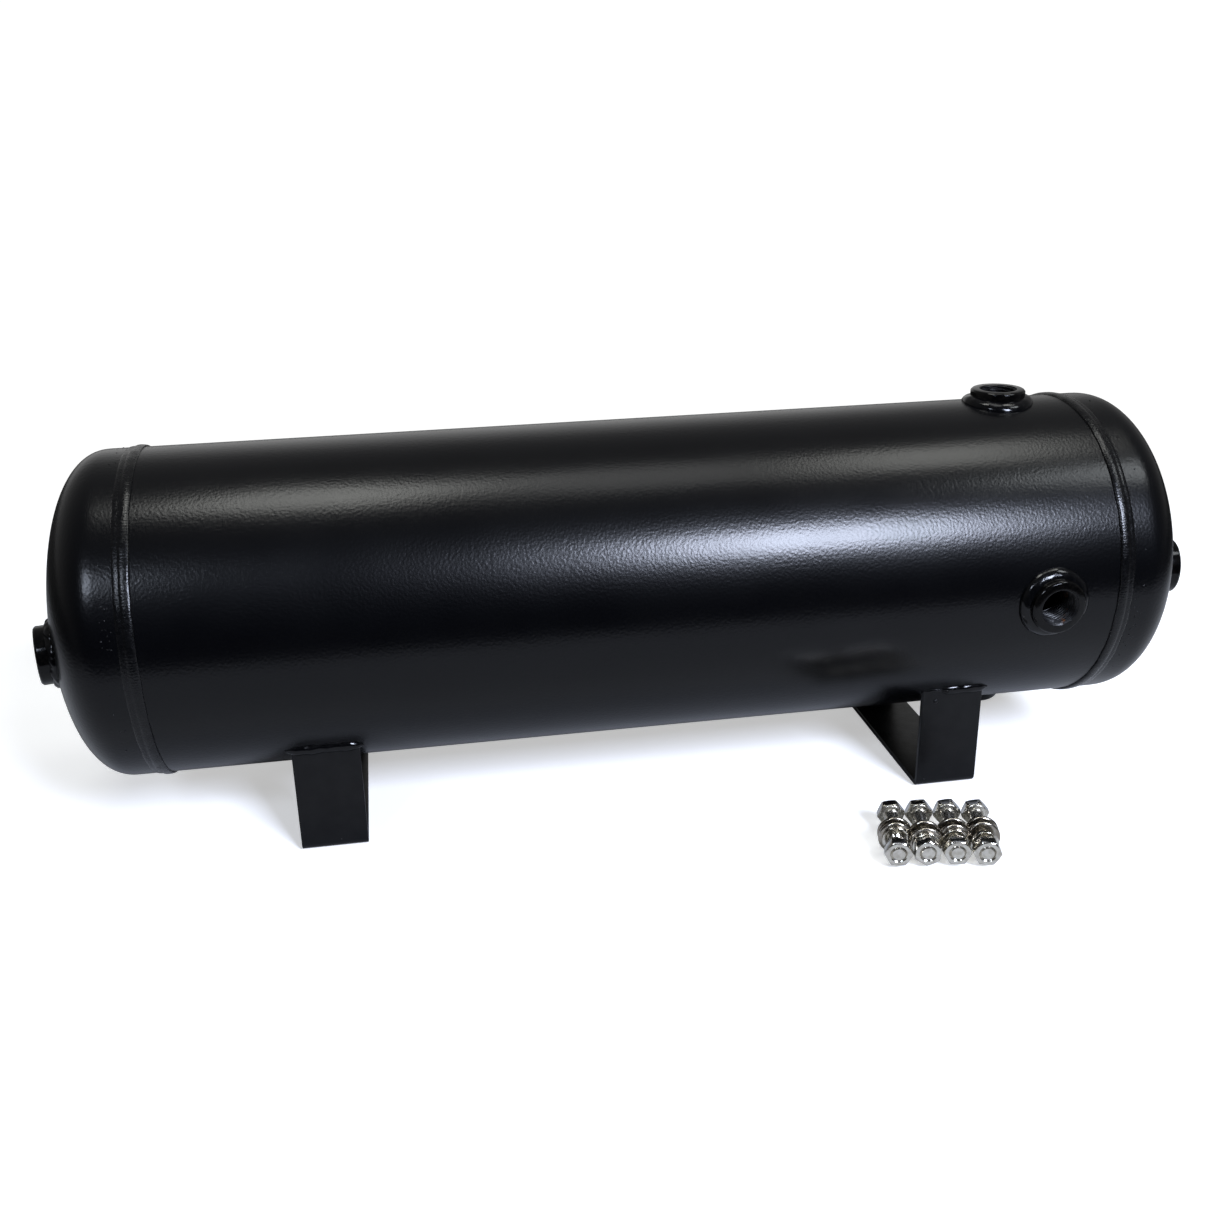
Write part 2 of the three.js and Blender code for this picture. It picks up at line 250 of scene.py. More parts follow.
class Place:
    """A local frame: an origin, a side direction, an axis to turn about, and an up direction."""

    def __init__(self, origin, axis, side):
        self.origin = np.array(origin, float)
        self.axis = np.array(axis, float) / np.linalg.norm(axis)
        raw = np.array(side, float)
        raw = raw - self.axis * raw.dot(self.axis)
        self.side = raw / np.linalg.norm(raw)
        self.up = np.cross(self.side, self.axis)

    def points(self, side, along, up):
        """Points at these distances in the frame's three directions."""
        side, along, up = np.broadcast_arrays(side, along, up)
        return (
            self.origin
            + side[..., None] * self.side
            + along[..., None] * self.axis
            + up[..., None] * self.up
        )

    def turned(self, radius, along, angles):
        """Points at these radii and heights, the angle running from up towards side."""
        return self.points(radius * np.sin(angles), along, radius * np.cos(angles))


def even_angles(steps):
    """Angles evenly spaced round one turn."""
    return np.arange(steps) * TURN / steps


def lathe(place, profile, steps, loop=True):
    """A profile of (radius, height) turned about the place's axis."""
    profile = np.array(profile, float)
    return skin(
        place.turned(profile[:, :1], profile[:, 1:], even_angles(steps)[None, :]), loop
    )


def rounded_box_section(width, height, radius, corner_steps):
    """A closed outline of a rectangle with round corners, as two arrays."""
    across, up = [], []
    for centre_x, centre_y, start in (
        (width / 2 - radius, height / 2 - radius, 0),
        (-width / 2 + radius, height / 2 - radius, pi / 2),
        (-width / 2 + radius, -height / 2 + radius, pi),
        (width / 2 - radius, -height / 2 + radius, 3 * pi / 2),
    ):
        for k in range(corner_steps + 1):
            angle = start + k / corner_steps * pi / 2
            across.append(centre_x + radius * cos(angle))
            up.append(centre_y + radius * sin(angle))
    return np.array(across), np.array(up)


def wander(positions, seed, waves, size):
    """Smooth irregular values about zero. The waves are whole numbers on a closed path."""
    draw = random.Random(seed)
    total = np.zeros_like(positions)
    for wave in waves:
        total += draw.uniform(0.4, 1.0) * np.cos(
            wave * positions + draw.uniform(0, TURN)
        )
    return size * total / len(waves)


DROP_STEPS = 14
DROP_RINGS = 9
DROP_POLE = 0.12  # radians from a droplet's pole to its first ring
DROP_SQUASH = 0.2


def bead_drop(spot, radius, height, seed):
    """A small closed droplet of spatter or thick coat, half sunk into the surface at a spot."""
    draw = random.Random(seed)
    rows = np.linspace(DROP_POLE, pi - DROP_POLE, DROP_RINGS)
    angles = even_angles(DROP_STEPS)
    squash = 1 + DROP_SQUASH * draw.uniform(-1, 1)
    ring = radius * np.sin(rows)[:, None]
    return skin(
        spot.points(
            ring * np.sin(angles)[None, :] * squash,
            height * np.cos(rows)[:, None],
            ring * np.cos(angles)[None, :] / squash,
        ),
        loop=False,
    )


# ---------------------------------------------------------------------------------------------
# The tank's surface


def dish_point(angle, grow=0.0):
    """(radius, x) on a dished head, from its pole at 0 to its flange at a quarter turn."""
    power = 2 / DISH_POWER
    return (
        (TANK_RADIUS + grow) * sin(angle) ** power,
        FLANGE_END + (DISH_DEPTH + grow) * cos(angle) ** power,
    )


def inside_tank(point):
    """Whether a point lies inside the tank's outer surface."""
    offset = point - AXIS
    radius = hypot(offset[1], offset[2])
    reach = max(abs(offset[0]) - FLANGE_END, 0.0)
    return (reach / DISH_DEPTH) ** DISH_POWER + (
        radius / TANK_RADIUS
    ) ** DISH_POWER < 1


SEARCH_FROM = -25.0
SEARCH_TO = 10.0
SEARCH_HALVINGS = 24


def surface_height(start, outward):
    """How far along outward from start the tank's surface lies."""
    low, high = SEARCH_FROM, SEARCH_TO
    for _ in range(SEARCH_HALVINGS):
        middle = (low + high) / 2
        if inside_tank(start + outward * middle):
            low = middle
        else:
            high = middle
    return (low + high) / 2


def shell_port_place(node, angle):
    """A port's place on the shell, at an angle above the front."""
    outward = np.array([0.0, -cos(angle), sin(angle)])
    base = AXIS + outward * TANK_RADIUS
    base[0] = middle_mm(node)[0]
    return Place(base, outward, (1, 0, 0))


def end_port_place(side):
    """A port's place on a dished head, square to its surface."""
    radius = hypot(END_PORT_Y, END_PORT_Z)
    angle = asin((radius / TANK_RADIUS) ** (DISH_POWER / 2))
    reach = dish_point(angle)[1]
    slope_out = ((reach - FLANGE_END) / DISH_DEPTH) ** (DISH_POWER - 1) / DISH_DEPTH
    slope_side = (radius / TANK_RADIUS) ** (DISH_POWER - 1) / TANK_RADIUS
    outward = (
        side * slope_out,
        slope_side * END_PORT_Y / radius,
        slope_side * END_PORT_Z / radius,
    )
    base = AXIS + np.array([side * reach, END_PORT_Y, END_PORT_Z])
    return Place(base, outward, (0, 0, 1))


PORTS = {
    "top": shell_port_place("top_port", pi / 2),
    "front": shell_port_place("front_port", -FRONT_PORT_DROP),
    "bottom": shell_port_place("bottom_port", -pi / 2),
    "left_end": end_port_place(-1),
    "right_end": end_port_place(1),
}
ALONG_X = Place(AXIS, (1, 0, 0), (0, 1, 0))


# ---------------------------------------------------------------------------------------------
# Materials


# The Mix node has sockets of the same name for each type. These are its colour sockets.
MIX_COLOUR_A = 6
MIX_COLOUR_B = 7
MIX_COLOUR_RESULT = 2


class Finish:
    """A Principled material whose patterns lie in the part's own coordinates."""

    def __init__(self, name, **uniform):
        self.material = bpy.data.materials.new(name)
        self.material.use_nodes = True
        self.tree = self.material.node_tree
        self.shader = self.tree.nodes["Principled BSDF"]
        self.where = self.tree.nodes.new("ShaderNodeTexCoord").outputs["Object"]
        for socket, value in uniform.items():
            self.shader.inputs[socket.replace("_", " ")].default_value = value

    def link(self, source, target):
        self.tree.links.new(source, target)

    def noise(self, feature_mm, detail=2.0, roughness=0.5):
        """A noise pattern whose features are about this many millimetres across."""
        node = self.tree.nodes.new("ShaderNodeTexNoise")
        node.inputs["Scale"].default_value = 1 / (feature_mm * MM)
        node.inputs["Detail"].default_value = detail
        node.inputs["Roughness"].default_value = roughness
        self.link(self.where, node.inputs["Vector"])
        return node.outputs["Fac"]

    def remap(self, source, from_low, from_high, to_low, to_high):
        """The source eased from one range of values onto another."""
        node = self.tree.nodes.new("ShaderNodeMapRange")
        node.interpolation_type = "SMOOTHSTEP"
        for socket, value in zip(
            ("From Min", "From Max", "To Min", "To Max"),
            (from_low, from_high, to_low, to_high),
        ):
            node.inputs[socket].default_value = value
        self.link(source, node.inputs["Value"])
        return node.outputs["Result"]

    def mix(self, factor, low, high):
        """A colour between low and high, which are colours or sockets."""
        node = self.tree.nodes.new("ShaderNodeMix")
        node.data_type = "RGBA"
        self.link(factor, node.inputs["Factor"])
        for number, value in ((MIX_COLOUR_A, low), (MIX_COLOUR_B, high)):
            socket = node.inputs[number]
            if isinstance(value, bpy.types.NodeSocket):
                self.link(value, socket)
            else:
                socket.default_value = (*value, 1)
        return node.outputs[MIX_COLOUR_RESULT]

    def bump(self, source, height_mm, below=None):
        """A normal from a height pattern, on top of another bump's normal if one is given."""
        node = self.tree.nodes.new("ShaderNodeBump")
        node.inputs["Distance"].default_value = height_mm * MM
        self.link(source, node.inputs["Height"])
        if below is not None:
            self.link(below, node.inputs["Normal"])
        return node.outputs["Normal"]

    def finish(self, colour, roughness, normal, metallic=None):
        """Links the patterns to the shader, and gives back the material."""
        self.link(colour, self.shader.inputs["Base Color"])
        self.link(roughness, self.shader.inputs["Roughness"])
        self.link(normal, self.shader.inputs["Normal"])
        if metallic is not None:
            self.link(metallic, self.shader.inputs["Metallic"])
        return self.material


def powder_coat():
    """Satin black powder coat with a fine orange peel."""
    made = Finish("powder_coat", Specular_IOR_Level=0.25)
    peel = made.noise(1.4, detail=1, roughness=0.4)
    colour = made.mix(
        made.remap(made.noise(30, detail=1), 0.3, 0.7, 0, 1),
        (0.0006, 0.0007, 0.0011),
        (0.0009, 0.0010, 0.0014),
    )
    roughness = made.remap(made.noise(40, detail=1), 0.3, 0.7, 0.23, 0.25)
    return made.finish(colour, roughness, made.bump(peel, 0.07))


def strap_coat():
    """The same coat on flat strap, where it flows out smoother."""
    made = Finish("strap_coat", Specular_IOR_Level=0.25)
    colour = made.mix(
        made.remap(made.noise(9, detail=3), 0.3, 0.7, 0, 1),
        (0.0012, 0.0012, 0.0016),
        (0.0026, 0.0026, 0.0029),
    )
    roughness = made.remap(made.noise(4), 0.3, 0.7, 0.28, 0.36)
    uneven = made.bump(made.noise(14, detail=1), 0.10)
    peel = made.bump(made.noise(1.1, detail=2), 0.05, below=uneven)
    return made.finish(colour, roughness, peel)


def coated_weld(name, rough_low, rough_high, grain_mm):
    """Glossier coat over a weld bead, its grain this many millimetres high."""
    made = Finish(name, Specular_IOR_Level=0.28)
    colour = made.mix(
        made.remap(made.noise(3), 0.35, 0.65, 0, 1),
        (0.0008, 0.0009, 0.0012),
        (0.0020, 0.0020, 0.0023),
    )
    roughness = made.remap(made.noise(2.2), 0.3, 0.7, rough_low, rough_high)
    grain = made.bump(made.noise(1.0, detail=2), grain_mm)
    return made.finish(colour, roughness, grain)


def port_coat():
    """Thin, glossy and slightly uneven coat over a turned bung."""
    made = Finish("port_coat", Specular_IOR_Level=0.20)
    colour = made.mix(
        made.remap(made.noise(1.8, detail=3), 0.4, 0.7, 0, 1),
        (0.0008, 0.0008, 0.0009),
        (0.0026, 0.0023, 0.0020),
    )
    roughness = made.remap(made.noise(1.2), 0.3, 0.7, 0.09, 0.15)
    return made.finish(colour, roughness, made.bump(made.noise(0.7, detail=2), 0.005))


def shaded_bore_steel():
    """Bare thread: steel painted far darker than bare steel, as painted shade for the inside of
    the bore, with patches of light rust and of stray black coat.
    """
    made = Finish("shaded_bore_steel", Specular_IOR_Level=0.25)
    rust = made.mix(
        made.remap(made.noise(0.9, detail=3), 0.35, 0.7, 0, 1),
        (0.040, 0.014, 0.005),
        (0.130, 0.048, 0.016),
    )
    where_rust = made.remap(made.noise(4.5, detail=3), 0.52, 0.62, 0, 1)
    # Painted shade: the bare steel's colour is darkened to stand in for the shade inside the
    # bore. The rust patches are real.
    shaded_metal_and_rust = made.mix(where_rust, (0.030, 0.029, 0.028), rust)
    # The stray black coat is real, but its patches are spread wider to darken the bore, partly
    # painted shade.
    coat_and_shade_mask = made.remap(made.noise(5.0, detail=2), 0.28, 0.41, 0, 1)
    colour = made.mix(coat_and_shade_mask, shaded_metal_and_rust, (0.003, 0.003, 0.0034))
    roughness = made.remap(where_rust, 0, 1, 0.36, 0.7)
    metallic = made.remap(coat_and_shade_mask, 0, 1, 0.85, 0.0)
    return made.finish(
        colour, roughness, made.bump(made.noise(0.5, detail=3), 0.03), metallic
    )


def stainless(name, dull, bright, rough_low, rough_high):
    """Bare stainless steel between a dull and a bright colour."""
    made = Finish(name, Metallic=1.0)
    colour = made.mix(made.remap(made.noise(2.5, detail=3), 0.3, 0.7, 0, 1), dull, bright)
    roughness = made.remap(made.noise(0.7, detail=3), 0.3, 0.7, rough_low, rough_high)
    return made.finish(colour, roughness, made.bump(made.noise(0.35, detail=2), 0.004))


POWDER_COAT = powder_coat()
STRAP_COAT = strap_coat()
GIRTH_COAT = coated_weld("girth_coat", 0.20, 0.30, 0.13)
POOLED_COAT = coated_weld("pooled_coat", 0.10, 0.18, 0.03)
PORT_COAT = port_coat()
SHADED_BORE_STEEL = shaded_bore_steel()
STEEL_DULL = (0.52, 0.49, 0.43)
STEEL_BRIGHT = (0.70, 0.68, 0.62)
# The flat washers' steel: a warmer tone of their own, darkened further as painted shade for the
# dark between a bolt's head and its nut.
SHADED_PLATE_DULL = (0.28, 0.25, 0.21)
SHADED_PLATE_BRIGHT = (0.44, 0.41, 0.36)
STAINLESS = stainless("stainless", STEEL_DULL, STEEL_BRIGHT, 0.12, 0.20)
STAINLESS_STAMPED = stainless("stainless_stamped", STEEL_DULL, STEEL_BRIGHT, 0.22, 0.30)
SHADED_STAINLESS_PLATE = stainless("shaded_stainless_plate", SHADED_PLATE_DULL, SHADED_PLATE_BRIGHT, 0.16, 0.24)

# ---------------------------------------------------------------------------------------------
# Shell, heads and girth welds

TANK_STEPS = 240
SHELL_RINGS_OUTSIDE = 90
SHELL_RINGS_INSIDE = 30
HEAD_RINGS = 44
FLANGE_RINGS = 4
FLANGE_START = 3.0  # beyond the dish's end, towards the shell
CUTTER_STEPS = 64
CUTTER_RADIUS = PORT_OUTER + 0.2


def port_cutter(place):
    """A solid that cuts a port's hole through the tank's wall."""
    ends = [(CUTTER_RADIUS, -PORT_LENGTH), (CUTTER_RADIUS, PORT_LENGTH)]
    return mesh_object("cutter", *lathe(place, ends, CUTTER_STEPS, loop=False))


def shell_piece():
    """The rolled cylinder, with holes for its three ports."""
    outside = np.linspace(-SHELL_END, SHELL_END, SHELL_RINGS_OUTSIDE)
    inside = np.linspace(SHELL_END, -SHELL_END, SHELL_RINGS_INSIDE)
    profile = [(TANK_RADIUS, x) for x in outside]
    profile += [(TANK_RADIUS - WALL, x) for x in inside]
    piece = mesh_object("shell_look", *lathe(ALONG_X, profile, TANK_STEPS))
    drill(piece, [port_cutter(PORTS[name]) for name in ("top", "front", "bottom")])
    present(piece, "shell", "tank", "powder_coat", POWDER_COAT)


def head_piece(name, side):
    """A dished head with a short flange, and a hole for its port."""
    place = Place(AXIS, (side, 0, 0), (0, 1, 0))
    angles = [(k / HEAD_RINGS) * pi / 2 for k in range(1, HEAD_RINGS + 1)]
    outside = [dish_point(angle) for angle in angles]
    inside = [dish_point(angle, -WALL) for angle in reversed(angles)]
    flange_rings = np.linspace(FLANGE_END - FLANGE_START, HEAD_START, FLANGE_RINGS)
    flange = [(TANK_RADIUS, x) for x in flange_rings]
    throat = [(TANK_RADIUS - WALL, HEAD_START)]
    piece = mesh_object(
        f"{name}_head_look",
        *lathe(place, [*outside, *flange, *throat, *inside], TANK_STEPS, loop=False),
    )
    drill(piece, [port_cutter(PORTS[f"{name}_end"])])
    present(piece, f"{name}_head", "tank", "powder_coat", POWDER_COAT)


# A girth bead's cross-section from the shell's side to the head's: (across, height) as shares
# of its half width and crown. The step down to the shell is the steeper one.
GIRTH_SECTION = [
    (-1.00, -0.12),
    (-0.985, 0.22),
    (-0.95, 0.50),
    (-0.86, 0.74),
    (-0.70, 0.90),
    (-0.50, 0.98),
    (-0.28, 1.00),
    (-0.06, 0.93),
    (0.10, 0.78),
    (0.20, 0.60),
    (0.30, 0.52),
    (0.46, 0.50),
    (0.64, 0.44),
    (0.80, 0.33),
    (0.92, 0.17),
    (1.00, -0.12),
]
GIRTH_HALF_WIDTH = 4.15
GIRTH_CROWN = 1.2
GIRTH_FOOT = 0.4  # how far the bead's edges sink into the plates
GIRTH_ROOT = 3.65  # half the width between the plates
GIRTH_STEPS = 1500
GIRTH_RIPPLES = 375
GIRTH_RIPPLE = 0.02
RIPPLE_END = 0.25  # across the bead, where the ripples stop
RIPPLE_BOW = 2.2  # how far back the ripples bend
RIPPLE_MIDDLE = -0.2  # across the bead, where they bend least
SCATTERED_SPECKS = 26
CLUSTERED_SPECKS = 14
CLUSTER_ANGLES = (radians(-82), radians(-66))
SCATTERED_OFFSETS = (5.5, 11)
CLUSTERED_OFFSETS = (6, 11)
SPECK_RADII = (0.25, 0.5)
SPECK_FLATNESS = 0.8


def girth_weld_piece(name, side):
    """A bead round the tank, with fine ripples and some spatter beside it."""
    place = Place(AXIS, (side, 0, 0), (0, 1, 0))
    angles = even_angles(GIRTH_STEPS)[:, None]
    section = np.array(GIRTH_SECTION)
    across, height = section[:, 0][None, :], section[:, 1][None, :]
    on_bead = np.clip(height, 0, 1) * (across < RIPPLE_END)
    uneven = wander(angles, f"{name} ripple", (13, 37, 61, 97), 3.0)
    bow = RIPPLE_BOW * (across - RIPPLE_MIDDLE) ** 2
    ripple = np.sin(GIRTH_RIPPLES * angles + uneven - bow)
    width = GIRTH_HALF_WIDTH + wander(angles, f"{name} width", (5, 11, 17, 29, 41), 0.35)
    crown = GIRTH_CROWN + wander(angles, f"{name} crown", (3, 7, 13, 31, 53), 0.16)
    shift = wander(angles, f"{name} shift", (2, 5, 9, 19), 0.45)
    along = SEAM_X + across * width + shift * (1 - across**2)
    radius = TANK_RADIUS + crown * height + GIRTH_RIPPLE * ripple * on_bead
    foot, inside = TANK_RADIUS - GIRTH_FOOT, TANK_RADIUS - WALL
    root_radius = np.tile([foot, inside, inside, foot], (GIRTH_STEPS, 1))
    root_sides = np.array([1.0, 1.0, -1.0, -1.0])
    root_along = np.tile(SEAM_X + GIRTH_ROOT * root_sides, (GIRTH_STEPS, 1))
    radius = np.concatenate([radius, root_radius], axis=1)
    along = np.concatenate([along, root_along], axis=1)
    body = skin(place.turned(radius, along, angles), loop=True)
    scattered = spatter(
        place, f"{name} specks", SCATTERED_SPECKS, (0, TURN), SCATTERED_OFFSETS
    )
    clustered = spatter(
        place, f"{name} cluster", CLUSTERED_SPECKS, CLUSTER_ANGLES, CLUSTERED_OFFSETS
    )
    parts = [body, *scattered, *clustered]
    piece = mesh_object(f"{name}_girth_weld_look", *joined(parts), BEAD_SHARP)
    present(piece, f"{name}_girth_weld", "tank", "coated_weld", GIRTH_COAT)


def spatter(place, seed, count, angles, offsets):
    """Specks of spatter beside a girth weld, on the head's side of it."""
    draw = random.Random(seed)
    drops = []
    for k in range(count):
        angle = np.array(draw.uniform(*angles))
        along = SEAM_X + draw.uniform(*offsets)
        origin = place.turned(TANK_RADIUS, along, angle)
        outward = origin - place.turned(0.0, along, angle)
        spot = Place(origin, outward, place.axis)
        radius = draw.uniform(*SPECK_RADII)
        drops.append(bead_drop(spot, radius, radius * SPECK_FLATNESS, f"{seed} {k}"))
    return drops


# ---------------------------------------------------------------------------------------------
# Ports

PORT_STEPS = 96
ROWS_PER_PITCH = 8
MOUTH_FLARE = 1.2
FACE_EDGE = 0.15  # how far outside the mouth's radius the flat face ends


def saw(phase):
    """A rounded triangle wave from 0 to 1."""
    triangle = 1 - np.abs(2 * (phase % 1) - 1)
    return triangle * triangle * (3 - 2 * triangle)


def port_piece(name):
    """A threaded bung: a coated outside and a bare tapered pipe thread."""
    place = PORTS[name]
    angles = even_angles(PORT_STEPS)[None, :]
    face, back = PORT_STANDOUT, PORT_STANDOUT - PORT_LENGTH
    depths = np.arange(0.0, PORT_LENGTH, PIPE_PITCH / ROWS_PER_PITCH)
    heights = (face - depths)[:, None]
    mouth = np.clip((PIPE_MOUTH - PIPE_CREST - depths) / MOUTH_FLARE, 0, 1)[:, None]
    crest = PIPE_CREST - depths[:, None] * PIPE_TAPER
    groove = PIPE_DEPTH * saw(heights / PIPE_PITCH - angles / TURN)
    bore = np.maximum(crest + groove, PIPE_CREST + mouth * MOUTH_FLARE)
    bore[-1] = PIPE_CREST
    outside = np.array(
        [
            (PORT_OUTER, back),
            (PORT_OUTER, face - PORT_CHAMFER - 0.25),
            (PORT_OUTER - 0.08, face - PORT_CHAMFER),
            (PORT_OUTER - PORT_CHAMFER + 0.1, face - 0.12),
            (PORT_OUTER - PORT_CHAMFER - 0.15, face),
            (PIPE_MOUTH + FACE_EDGE, face),
        ]
    )
    radius = np.concatenate([np.tile(outside[:, :1], (1, PORT_STEPS)), bore])
    along = np.concatenate([outside[:, 1:], heights])
    body = skin(place.turned(radius, along, angles), loop=True)
    piece = mesh_object(f"{name}_port_look", *body, FORMED_SHARP)
    # The bore's thread takes steel darkened as painted shade for the inside of the bore.
    present(piece, f"{name}_port", "tank", "powder_coat", PORT_COAT, SHADED_BORE_STEEL)
    first_bore_face = len(outside) * PORT_STEPS
    use_second_material(piece, first_bore_face, len(piece.data.polygons))


PORT_BEAD_STEPS = 320
PORT_BEAD_POINTS = 15
PORT_BEAD_LAP = 0.15  # how far the bead overlaps the bung
PORT_BEAD_SINK = 1.2  # how far its root lies under the tank's surface
PORT_BEAD_ROOT = 0.9  # the root's width as a share of the bead's reach
PORT_BEAD_TOE = -0.15  # its outer edge, just under the surface
SHELL_BEAD = {"reach": 4.6, "height": 3.7, "lumps": 0.2, "roundness": 1.9}
END_BEAD = {"reach": 2.7, "height": 2.5, "lumps": 0.9, "roundness": 1.7}


def port_weld_piece(name):
    """A bead that follows the curve where the bung meets the tank."""
    place = PORTS[name]
    bead = END_BEAD if name.endswith("end") else SHELL_BEAD
    angles = even_angles(PORT_BEAD_STEPS)
    lumps = bead["lumps"]
    reach = bead["reach"] + lumps * wander(angles, f"{name} reach", (3, 5, 8, 13, 21), 0.9)
    height = bead["height"] + lumps * wander(angles, f"{name} height", (2, 5, 9, 14), 0.9)
    share = np.linspace(0, 1, PORT_BEAD_POINTS)
    out = np.sin(share * pi / 2) ** (2 / bead["roundness"])
    up = np.cos(share * pi / 2) ** (2 / bead["roundness"])
    inner = PORT_OUTER - PORT_BEAD_LAP
    rows = []
    for k, angle in enumerate(angles):
        lump = wander(angle + 0.5 * share, f"{name} lump", (5, 8, 13), 0.8)
        lump = lumps * lump * np.sin(share * pi)
        radius = inner + reach[k] * out
        lift = height[k] * up + lump
        radius = np.append(radius, [inner + reach[k] * PORT_BEAD_ROOT, inner])
        lift = np.append(lift, [-PORT_BEAD_SINK, -PORT_BEAD_SINK])
        lift[PORT_BEAD_POINTS - 1] = PORT_BEAD_TOE
        ring = place.points(radius * sin(angle), 0.0, radius * cos(angle))
        ground = [surface_height(point, place.axis) for point in ring]
        rows.append(ring + (np.array(ground) + lift)[:, None] * place.axis)
    body = skin(np.array(rows), loop=True)
    piece = mesh_object(f"{name}_port_weld_look", *body, BEAD_SHARP)
    present(piece, f"{name}_port_weld", "tank", "coated_weld", POOLED_COAT)


# ---------------------------------------------------------------------------------------------
# Legs


UPRIGHT_STEPS = 12
FOOT_STEPS = 16
BEND_STEPS = 8
CORNER_STEPS = 4
LEG_SINK = 0.15  # how far the uprights' tops reach into the shell
UPRIGHT_GAP = 1.0  # between an upright's last row and the bend
FOOT_GAP = 2.0  # between the foot's last row and the bend
DROP_FLATNESS = 0.45


def leg_path(half_span):
    """(y, z) and the outward normal's angle along a strap's middle, front top to rear top."""
    reach = half_span - LEG_THICKNESS / 2
    bend = LEG_BEND - LEG_THICKNESS / 2
    floor = LEG_THICKNESS / 2
    top = AXIS[2] - sqrt(TANK_RADIUS**2 - reach**2)
    bend_y, bend_z = reach - bend, floor + bend
    upright = np.linspace(top, bend_z + UPRIGHT_GAP, UPRIGHT_STEPS)
    foot = np.linspace(FOOT_GAP - bend_y, bend_y - FOOT_GAP, FOOT_STEPS)

    def bend_points(centre_y, start):
        angles = [start + k / BEND_STEPS * pi / 2 for k in range(BEND_STEPS + 1)]
        return [(centre_y + bend * cos(a), bend_z + bend * sin(a), a) for a in angles]

    return [
        *[(-reach, z, pi) for z in upright],
        *bend_points(-bend_y, pi),
        *[(y, floor, 1.5 * pi) for y in foot],
        *bend_points(bend_y, 1.5 * pi),
        *[(reach, z, TURN) for z in reversed(upright)],
    ]


def leg_piece(name, drops):
    """A strap bent into a U, its tops cut to the shell. Each drop of thick coat on its front is
    (offset from the middle, height, radius)."""
    low, high = box_mm(f"{name}_leg")
    centre = (low + high) / 2
    width = high[0] - low[0]
    across, through = rounded_box_section(width, LEG_THICKNESS, LEG_EDGE, CORNER_STEPS)
    rows = []
    for y, z, angle in leg_path((high[1] - low[1]) / 2):
        section_y = centre[1] + y + through * cos(angle)
        section_z = z + through * sin(angle)
        rows.append(np.stack([centre[0] + across, section_y, section_z], axis=1))
    for row in (rows[0], rows[-1]):
        offset = row[:, 1] - AXIS[1]
        row[:, 2] = AXIS[2] - np.sqrt((TANK_RADIUS - LEG_SINK) ** 2 - offset**2)
    specks = []
    for k, (offset, height, radius) in enumerate(drops):
        spot = Place((centre[0] + offset, low[1], height), (0, -1, 0), (1, 0, 0))
        specks.append(bead_drop(spot, radius, radius * DROP_FLATNESS, f"{name} {k}"))
    body = skin(np.array(rows), loop=False)
    piece = mesh_object(f"{name}_leg_look", *joined([body, *specks]), FORMED_SHARP)
    present(piece, f"{name}_leg", "tank", "powder_coat", STRAP_COAT)


LEG_BEAD_STEPS = 150
LEG_BEAD_POINTS = 13
LEG_BEAD_SPREAD = radians(136)
LEG_BEAD_SIZE = 3.0
LEG_BEAD_TAPER = 7  # the bead tapers over a seventh of its length at each end
LEG_BEAD_THIN = 0.45
LEG_BEAD_LAP = 0.1  # how far the bead overlaps the upright and the shell
LEG_BEAD_ROOT = 0.6
SMOOTHING = 13


def leg_weld_piece(leg, where, start, end, thin_until=None):
    """A bead in the corner between an upright's outer face and the shell. Offsets along X run
    from start to end about the leg's middle. Before thin_until, if given, the bead is thin."""
    low, high = box_mm(f"{leg}_leg")
    side = -1 if where == "front" else 1
    half_span = (high[1] - low[1]) / 2
    corner = np.array(
        [
            (low[0] + high[0]) / 2,
            AXIS[1] + side * half_span,
            AXIS[2] - sqrt(TANK_RADIUS**2 - half_span**2),
        ]
    )
    seed = f"{leg} {where}"
    share = np.linspace(0, 1, LEG_BEAD_STEPS)
    offsets = start + (end - start) * share
    taper = np.clip(np.minimum(share, 1 - share) * LEG_BEAD_TAPER, 0.02, 1) ** 0.5
    size = LEG_BEAD_SIZE + wander(share * 20, f"{seed} size", (0.5, 0.9, 1.4), 0.5)
    size = size * taper
    if thin_until is not None:
        size = np.where(offsets < thin_until, size * LEG_BEAD_THIN, size)
    padded = np.pad(size, SMOOTHING // 2, mode="edge")
    size = np.convolve(padded, np.ones(SMOOTHING) / SMOOTHING, mode="valid")
    turn = np.linspace(0, 1, LEG_BEAD_POINTS) * LEG_BEAD_SPREAD
    rows = []
    for k, offset in enumerate(offsets):
        lump = wander(offset + turn * 0.8, f"{seed} lump", (0.25, 0.5, 0.8), 0.16)
        bulge = np.sin(turn / LEG_BEAD_SPREAD * pi)
        radius = size[k] * (1 + (lump - 0.12) * bulge)
        out = np.append(radius * np.sin(turn), [-LEG_BEAD_ROOT])
        down = np.append(radius * np.cos(turn), [0.0])
        along = np.full(len(out), corner[0] + offset)
        outward = corner[1] + side * (out - LEG_BEAD_LAP)
        upward = corner[2] - down + LEG_BEAD_LAP
        rows.append(np.stack([along, outward, upward], axis=1))
    node = f"{leg}_leg_{where}_weld"
    piece = mesh_object(f"{node}_look", *skin(np.array(rows), loop=False), BEAD_SHARP)
    present(piece, node, "tank", "coated_weld", POOLED_COAT)


# ---------------------------------------------------------------------------------------------
# Hardware

HEX_ANGLES = [-30, -29, -27, -22, -15, -8, 0, 8, 15, 22, 27, 29]
HEX_RISE = tan(radians(30))
THREAD_FADE = 0.6 * BOLT_PITCH


def hex_columns(turn_degrees):
    """Angles all round, with more at the corners, and a hexagon's radius at each."""
    angles, radii = [], []
    for flat in range(6):
        for offset in HEX_ANGLES:
            angles.append(radians(turn_degrees + 60 * flat + offset))
            radii.append(min(HEX_FLATS / cos(radians(offset)), HEX_CORNERS))
    return np.array(angles), np.array(radii)


def ring_row(columns, radius, along):
    """A round row: its radius and its height, the same in every column."""
    return np.full(columns, radius), np.full(columns, along)


